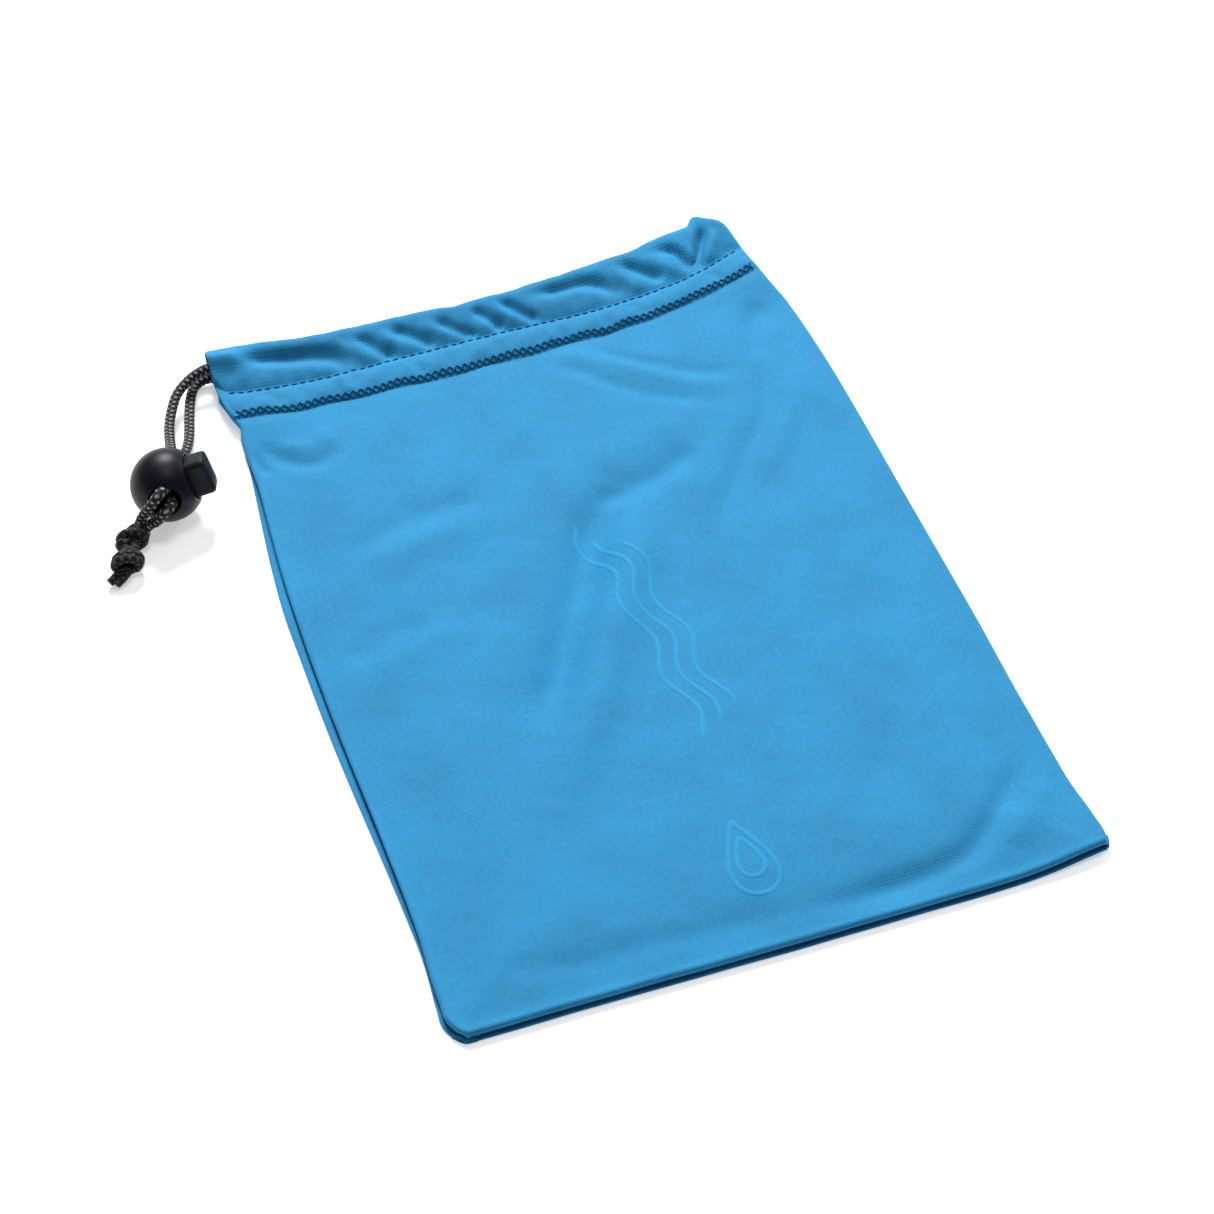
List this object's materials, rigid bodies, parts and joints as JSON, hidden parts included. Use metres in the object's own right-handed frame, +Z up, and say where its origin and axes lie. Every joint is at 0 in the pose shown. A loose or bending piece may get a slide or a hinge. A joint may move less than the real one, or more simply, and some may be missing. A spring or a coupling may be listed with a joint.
{
  "type": "drawstring pouch",
  "caption": "Flat knitted cloth drawstring pouch with a stitched cord channel, round drawcord, spring cord lock and knotted cord ends.",
  "frame": {"origin": "on the surface the pouch lies on, under the middle of the pouch without its free cord", "axes": "+X to the right with the cord leaving at -X, +Y along the pouch towards its mouth, +Z up"},
  "size_m": [0.1858, 0.22, 0.0176],
  "materials": {
    "cloth": "soft brushed knit",
    "thread": "sewing thread",
    "cord": "braided, black with light flecks",
    "lock_shell": "fine satin",
    "lock_button": "satin",
    "spring": "drawn wire"
  },
  "bodies": {
    "pouch": {"back_panel": "cloth", "back_hem": "cloth", "mouth_fold": "cloth", "back_channel_stitch": "thread", "back_hem_overlock": "thread", "side_seam_thread": "thread", "bottom_seam_thread": "thread", "drawcord_in_back_hem": "cord", "drawcord_mouth_bend": "cord", "cord_strand_front": "cord", "cord_strand_back": "cord", "cord_end_front": "cord", "cord_end_back": "cord", "cord_knot": "cord", "cord_cut_end_front": "cord", "cord_cut_end_back": "cord"},
    "front_layer": {"front_panel": "cloth", "front_hem": "cloth", "front_channel_stitch": "thread", "front_hem_overlock": "thread", "drawcord_in_front_hem": "cord"},
    "cord_lock": {"lock_ball": "lock_shell", "lock_spring": "spring"},
    "lock_plunger": {"lock_button": "lock_button"}
  },
  "joints": [
    {"name": "mouth_open", "type": "hinge", "parent": "pouch", "child": "front_layer", "pos_m": [0, -0.1065, 0.0011], "axis": [1, 0, 0], "range_deg": [0, 7]},
    {"name": "lock_slide", "type": "slide", "parent": "pouch", "child": "cord_lock", "axis": [0.309, 0.9511, 0], "range_m": [-0.003, 0.02], "deforming": ["cord_strand_front", "cord_strand_back", "cord_end_front", "cord_end_back"]},
    {"name": "button_press", "type": "slide", "parent": "cord_lock", "child": "lock_plunger", "axis": [-0.9253, 0.212, -0.3145], "range_m": [0, 0.003], "stiffness_N_per_m": 600, "springref_m": -0.002, "deforming": ["lock_spring"]}
  ]
}
